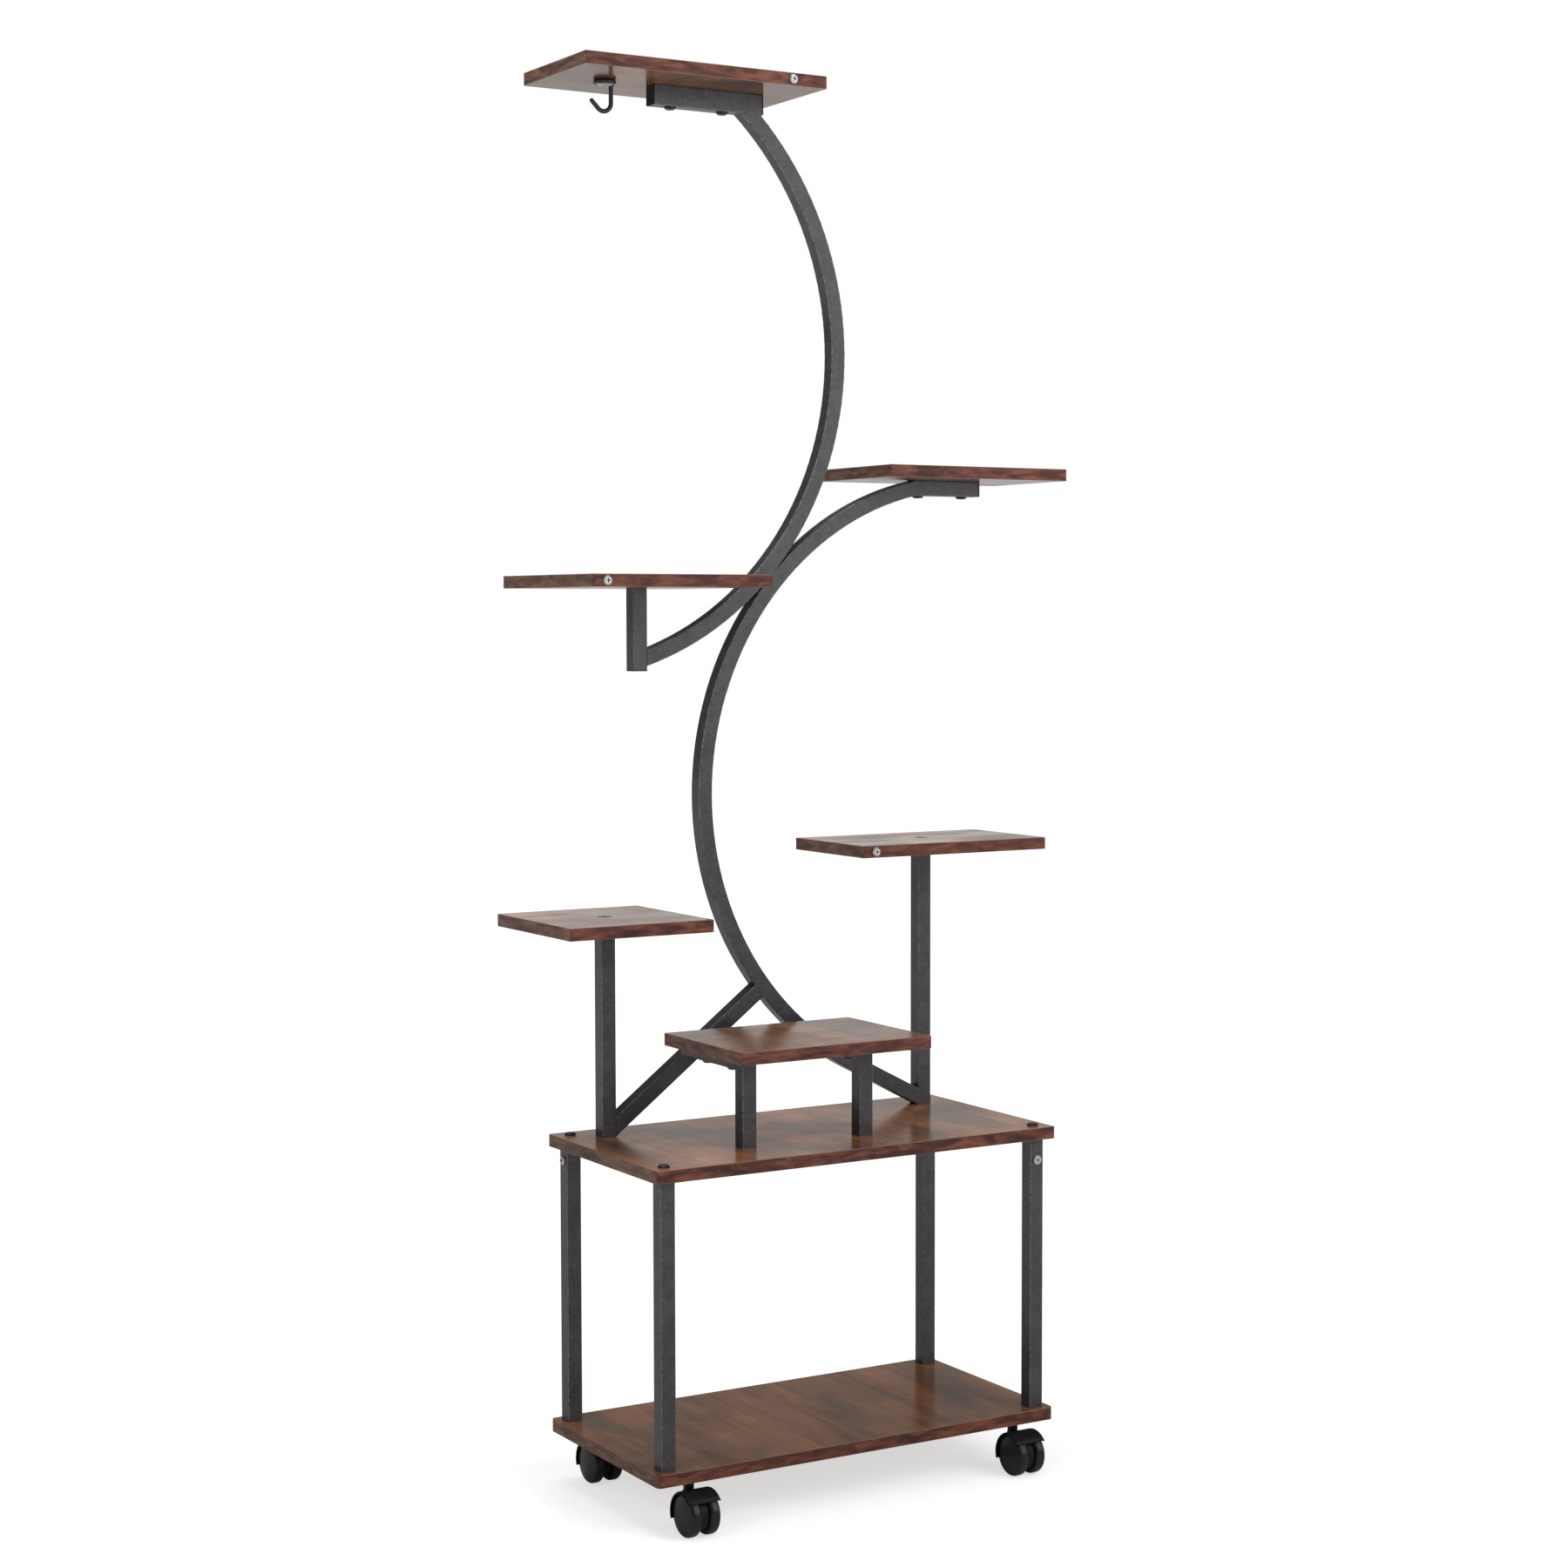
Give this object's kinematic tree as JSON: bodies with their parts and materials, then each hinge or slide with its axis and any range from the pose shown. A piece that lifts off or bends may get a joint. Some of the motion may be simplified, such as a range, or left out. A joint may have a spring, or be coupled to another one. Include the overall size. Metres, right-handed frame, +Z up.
{
  "type": "tiered plant stand",
  "caption": "Rolling tiered plant stand: two large boards on square legs and casters, with staggered small shelves on posts and two tangent curved square tubes, and a plant hook.",
  "frame": {"origin": "on the floor, under the middle of the stand's overall outline", "axes": "+Z up, +X to the right seen from the front, -Y to the front, where the bench shelf is"},
  "size_m": [0.714, 0.3714, 1.686],
  "materials": {
    "wood_laminate": "satin wood-grain laminate",
    "painted_tube": "charcoal powder coat",
    "black_steel": "black zinc",
    "bright_steel": "zinc plated",
    "black_plastic": "moulded nylon",
    "wheel_plastic": "moulded nylon"
  },
  "bodies": {
    "stand": {"lower_board": "wood_laminate", "upper_board": "wood_laminate", "leg_front_left": "painted_tube", "leg_front_right": "painted_tube", "leg_back_left": "painted_tube", "leg_back_right": "painted_tube", "left_post": "painted_tube", "right_post": "painted_tube", "brace": "painted_tube", "lower_arc": "painted_tube", "lower_tail": "painted_tube", "upper_arc": "painted_tube", "left_riser": "painted_tube", "right_bar": "painted_tube", "top_bar": "painted_tube", "bench_post_left": "painted_tube", "bench_post_right": "painted_tube", "bench_arm_left": "painted_tube", "bench_arm_right": "painted_tube", "bench_shelf": "wood_laminate", "left_low_shelf": "wood_laminate", "right_low_shelf": "wood_laminate", "left_mid_shelf": "wood_laminate", "right_upper_shelf": "wood_laminate", "top_shelf": "wood_laminate", "leg_plugs": "black_plastic", "post_plugs": "black_plastic", "tube_caps": "black_plastic", "leg_bolts_upper": "black_steel", "leg_bolts_lower": "black_steel", "foot_bolts": "black_steel", "shelf_bolts": "black_steel", "bar_bolts": "black_steel", "arm_bolts": "black_steel", "edge_screws": "bright_steel", "plant_hook": "black_steel", "hook_screw": "bright_steel", "caster_inserts": "bright_steel", "caster_fl_stem": "black_steel", "caster_fr_stem": "black_steel", "caster_bl_stem": "black_steel", "caster_br_stem": "black_steel"},
    "swivel_fl": {"caster_fl_body": "black_plastic", "caster_fl_axle": "bright_steel"},
    "wheel_fl_left": {"caster_fl_wheel_left": "wheel_plastic"},
    "wheel_fl_right": {"caster_fl_wheel_right": "wheel_plastic"},
    "swivel_fr": {"caster_fr_body": "black_plastic", "caster_fr_axle": "bright_steel"},
    "wheel_fr_left": {"caster_fr_wheel_left": "wheel_plastic"},
    "wheel_fr_right": {"caster_fr_wheel_right": "wheel_plastic"},
    "swivel_bl": {"caster_bl_body": "black_plastic", "caster_bl_axle": "bright_steel"},
    "wheel_bl_left": {"caster_bl_wheel_left": "wheel_plastic"},
    "wheel_bl_right": {"caster_bl_wheel_right": "wheel_plastic"},
    "swivel_br": {"caster_br_body": "black_plastic", "caster_br_axle": "bright_steel"},
    "wheel_br_left": {"caster_br_wheel_left": "wheel_plastic"},
    "wheel_br_right": {"caster_br_wheel_right": "wheel_plastic"}
  },
  "joints": [
    {"name": "swivel_fl", "type": "hinge", "parent": "stand", "child": "swivel_fl", "pos_m": [-0.265, -0.14175, 0.03], "axis": [0, 0, 1], "continuous": true},
    {"name": "roll_fl_left", "type": "hinge", "parent": "swivel_fl", "child": "wheel_fl_left", "pos_m": [-0.265, -0.16075, 0.025], "axis": [1, 0, 0], "continuous": true},
    {"name": "roll_fl_right", "type": "hinge", "parent": "swivel_fl", "child": "wheel_fl_right", "pos_m": [-0.265, -0.16075, 0.025], "axis": [1, 0, 0], "continuous": true},
    {"name": "swivel_fr", "type": "hinge", "parent": "stand", "child": "swivel_fr", "pos_m": [0.187, -0.14175, 0.03], "axis": [0, 0, 1], "continuous": true},
    {"name": "roll_fr_left", "type": "hinge", "parent": "swivel_fr", "child": "wheel_fr_left", "pos_m": [0.187, -0.16075, 0.025], "axis": [1, 0, 0], "continuous": true},
    {"name": "roll_fr_right", "type": "hinge", "parent": "swivel_fr", "child": "wheel_fr_right", "pos_m": [0.187, -0.16075, 0.025], "axis": [1, 0, 0], "continuous": true},
    {"name": "swivel_bl", "type": "hinge", "parent": "stand", "child": "swivel_bl", "pos_m": [-0.265, 0.09725, 0.03], "axis": [0, 0, 1], "continuous": true},
    {"name": "roll_bl_left", "type": "hinge", "parent": "swivel_bl", "child": "wheel_bl_left", "pos_m": [-0.265, 0.07825, 0.025], "axis": [1, 0, 0], "continuous": true},
    {"name": "roll_bl_right", "type": "hinge", "parent": "swivel_bl", "child": "wheel_bl_right", "pos_m": [-0.265, 0.07825, 0.025], "axis": [1, 0, 0], "continuous": true},
    {"name": "swivel_br", "type": "hinge", "parent": "stand", "child": "swivel_br", "pos_m": [0.187, 0.09725, 0.03], "axis": [0, 0, 1], "continuous": true},
    {"name": "roll_br_left", "type": "hinge", "parent": "swivel_br", "child": "wheel_br_left", "pos_m": [0.187, 0.07825, 0.025], "axis": [1, 0, 0], "continuous": true},
    {"name": "roll_br_right", "type": "hinge", "parent": "swivel_br", "child": "wheel_br_right", "pos_m": [0.187, 0.07825, 0.025], "axis": [1, 0, 0], "continuous": true}
  ]
}
